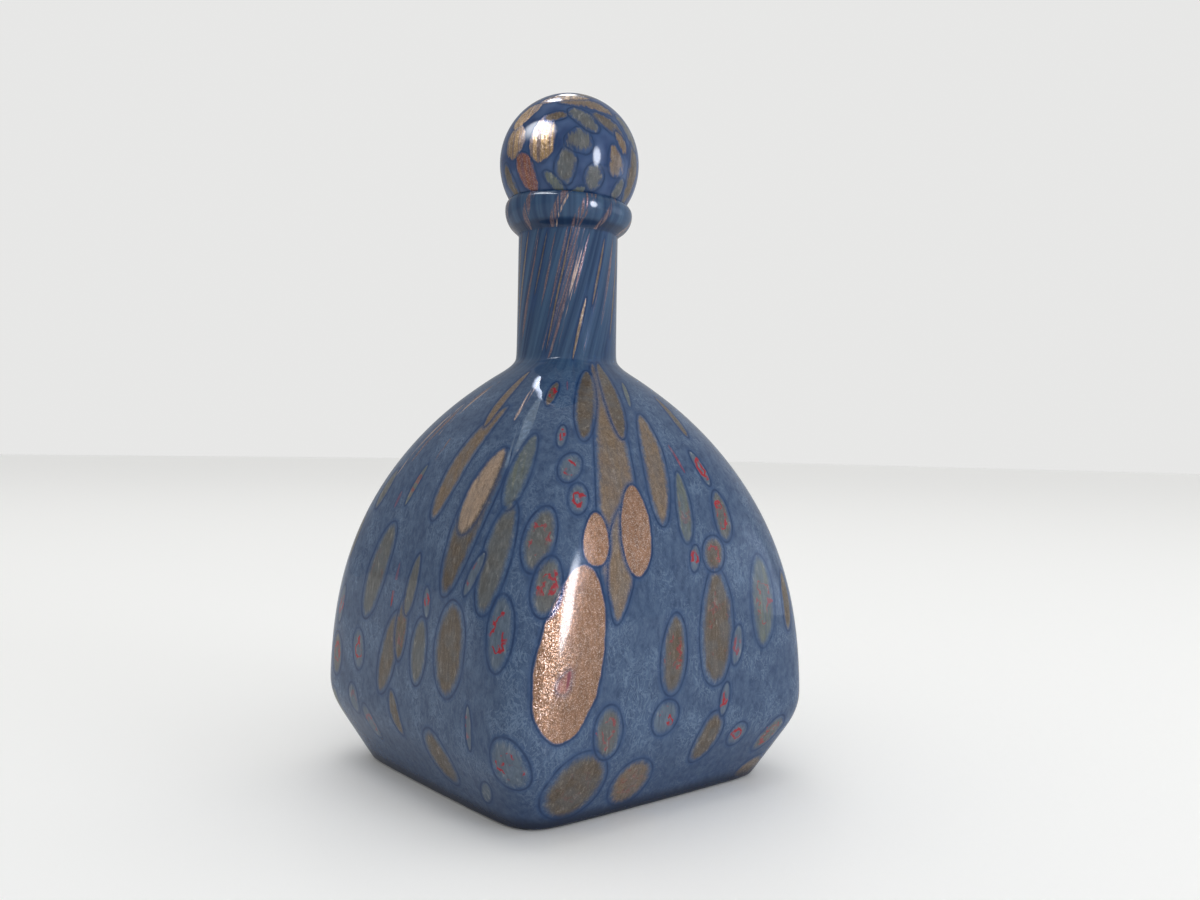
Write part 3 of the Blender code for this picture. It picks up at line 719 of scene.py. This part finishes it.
lay_chips(ball, BALL_CHIPS + scatter_on_ball(BALL_CHIPS, 3), on_ball)
ball.data.materials.append(chipped_glass("cased_cobalt_glass", cobalt_ground, 3.0))
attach(ball, "stopper")
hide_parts("stopper_ball")


# ---- The floor, the light and the camera -----------------------------------------------------
# A plain pale floor in even pale light that is brighter from the right, one large soft lamp overhead
# and a small cooler one low at the right. Soft panels show in the glass alone, as its highlights.

FLOOR_REACH = 8.0
floor = bpy.data.objects.new("floor", bpy.data.meshes.new("floor"))
bpy.context.scene.collection.objects.link(floor)
top = bmesh.new()
bmesh.ops.create_grid(top, x_segments=1, y_segments=1, size=FLOOR_REACH)
top.to_mesh(floor.data)
top.free()
# Board with a matt painted face, which takes soft shadows and has no gloss.
board = bpy.data.materials.new("pale_matt_board")
board.use_nodes = True
tree = board.node_tree
tree.nodes.clear()
add(tree, "OutputMaterial", add(tree, "BsdfPrincipled", named={
    "Base Color": linear("#f8f8f7"), "Roughness": 0.6, "IOR": 1.5}))
floor.data.materials.append(board)

# How far the carafe is turned from facing the camera, then the camera's own place, turn, roll and lens.
OBJECT_TURN = 0.652
CAMERA_PLACE = (-0.2044, -0.2677, 0.1012)
CAMERA_YAW, CAMERA_ROLL, LENS = 0.034, 0.017, 31.26


def towards(direction):
    """A direction as seen from the camera, right, away and up, turned to the object's own axes."""
    right, away, up = Vector(direction).normalized()
    cos, sin = math.cos(OBJECT_TURN), math.sin(OBJECT_TURN)
    return Vector((right * cos + away * sin, -right * sin + away * cos, up))


world = bpy.data.worlds.new("studio")
bpy.context.scene.world = world
world.use_nodes = True
tree = world.node_tree
tree.nodes.clear()
rays = add(tree, "LightPath").node.outputs
# How bright the backdrop is, from where most light comes, and the light from the dark and bright sides:
# first as it falls on the object, then as the glass mirrors it.
BACKDROP, BRIGHT_SIDE = 0.87, towards((1, -0.3, 0))
side = add(tree, "VectorMath", add(tree, "TexCoord", out="Generated"), BRIGHT_SIDE,
           operation="DOT_PRODUCT", out="Value")
lighting = add(tree, "MapRange", side, -1.0, 1.0, 0.76, 1.02)
mirrored = add(tree, "MapRange", side, -0.5, 0.5, 0.56, 0.86)
in_glass = add(tree, "Math", rays["Is Glossy Ray"], rays["Is Transmission Ray"], operation="MAXIMUM")
strength = add(tree, "Mix", in_glass, named={2: lighting, 3: mirrored})
strength = add(tree, "Mix", rays["Is Camera Ray"], named={2: strength, 3: BACKDROP})
add(tree, "OutputWorld", add(tree, "Background", linear("#f6f6f5"), strength))

MIDDLE = Vector((0, 0, 0.11))


def hang(name, data, direction, distance, facing=None):
    """Puts a lamp or a panel in that direction from the carafe's middle, facing it or as told."""
    made = bpy.data.objects.new(name, data)
    made.location = MIDDLE + towards(direction) * distance
    made.rotation_euler = towards(facing or direction).to_track_quat("Z", "Y").to_euler()
    bpy.context.scene.collection.objects.link(made)
    return made


def lamp(name, direction, distance, width, height, watts, colour):
    """A rectangular lamp that lights the object and doesn't show in its gloss."""
    light = bpy.data.lights.new(name, "AREA")
    light.shape, light.size, light.size_y = "RECTANGLE", width, height
    light.energy, light.color = watts, colour
    hang(name, light, direction, distance).visible_glossy = False


def softbox(name, direction, distance, width, height, strength, colour, core=0.25, facing=None):
    """A panel that only shows in reflections, even out to a share of its reach and fading from there."""
    panel = bpy.data.meshes.new(name)
    sheet = bmesh.new()
    bmesh.ops.create_grid(sheet, x_segments=1, y_segments=1, size=0.5)
    bmesh.ops.scale(sheet, vec=(width, height, 1), verts=sheet.verts)
    sheet.to_mesh(panel)
    sheet.free()
    cloth = bpy.data.materials.new(name)
    cloth.use_nodes = True
    tree = cloth.node_tree
    tree.nodes.clear()
    share = add(tree, "VectorMath", add(tree, "TexCoord", out="Object"), (2 / width, 2 / height, 0),
                operation="MULTIPLY")
    radius = add(tree, "VectorMath", share, operation="LENGTH", out="Value")
    power = add(tree, "MapRange", radius, core, 1.0, strength, 0.0, interpolation_type="SMOOTHSTEP")
    glow = add(tree, "Emission", linear(colour), power)
    add(tree, "OutputMaterial", add(tree, "AddShader", add(tree, "BsdfTransparent"), glow))
    panel.materials.append(cloth)
    made = hang(name, panel, direction, distance, facing)
    made.visible_camera = made.visible_diffuse = made.visible_shadow = False


lamp("overhead_lamp", (-0.1, 0.1, 1.0), 2.4, 1.6, 1.6, 9.5, (1, 1, 1))
lamp("low_right_lamp", (0.76, -0.5, 0.1), 1.4, 0.6, 0.5, 5, (0.9, 0.95, 1))
# The white spot on the ball's left, edge-on to the shoulder so that it doesn't show there.
softbox("ball_glint", (-0.255, -0.242, 0.936), 0.1235, 0.055, 0.044, 22, "#f4f8ff", 0.4,
        facing=(-0.77, -0.63, -0.094))
# The wedge high on the shoulder.
softbox("shoulder_glint", (-0.175, 0.39, 0.905), 1.2, 0.18, 0.36, 20, "#dfe9ff", 0.6)
# The streak on the front corner, with a wide faint glow round it.
softbox("corner_glint", (0.69, -0.71, 0.16), 0.85, 0.24, 0.5, 30, "#f2f6ff", 0.5)
softbox("corner_glow", (0.74, -0.65, 0.18), 0.9, 0.46, 0.8, 4.5, "#bcd2f5")
# The sheen towards the right edge.
softbox("right_sheen", (1.0, 0.12, 0.05), 1.2, 0.9, 0.9, 2.4, "#c9d8f0")
# The thin bright line at the foot of the neck and the spot on top of the ball.
softbox("neck_glint", (-0.02, 0.68, 0.73), 2.2, 0.36, 0.3, 32, "#ffffff")

camera = bpy.data.objects.new("camera", bpy.data.cameras.new("camera"))
camera.data.lens = LENS
camera.location = CAMERA_PLACE
camera.rotation_euler = (math.pi / 2, -CAMERA_ROLL, -(OBJECT_TURN + CAMERA_YAW))
bpy.context.scene.collection.objects.link(camera)
bpy.context.scene.camera = camera
bpy.context.scene.view_settings.view_transform = "Standard"
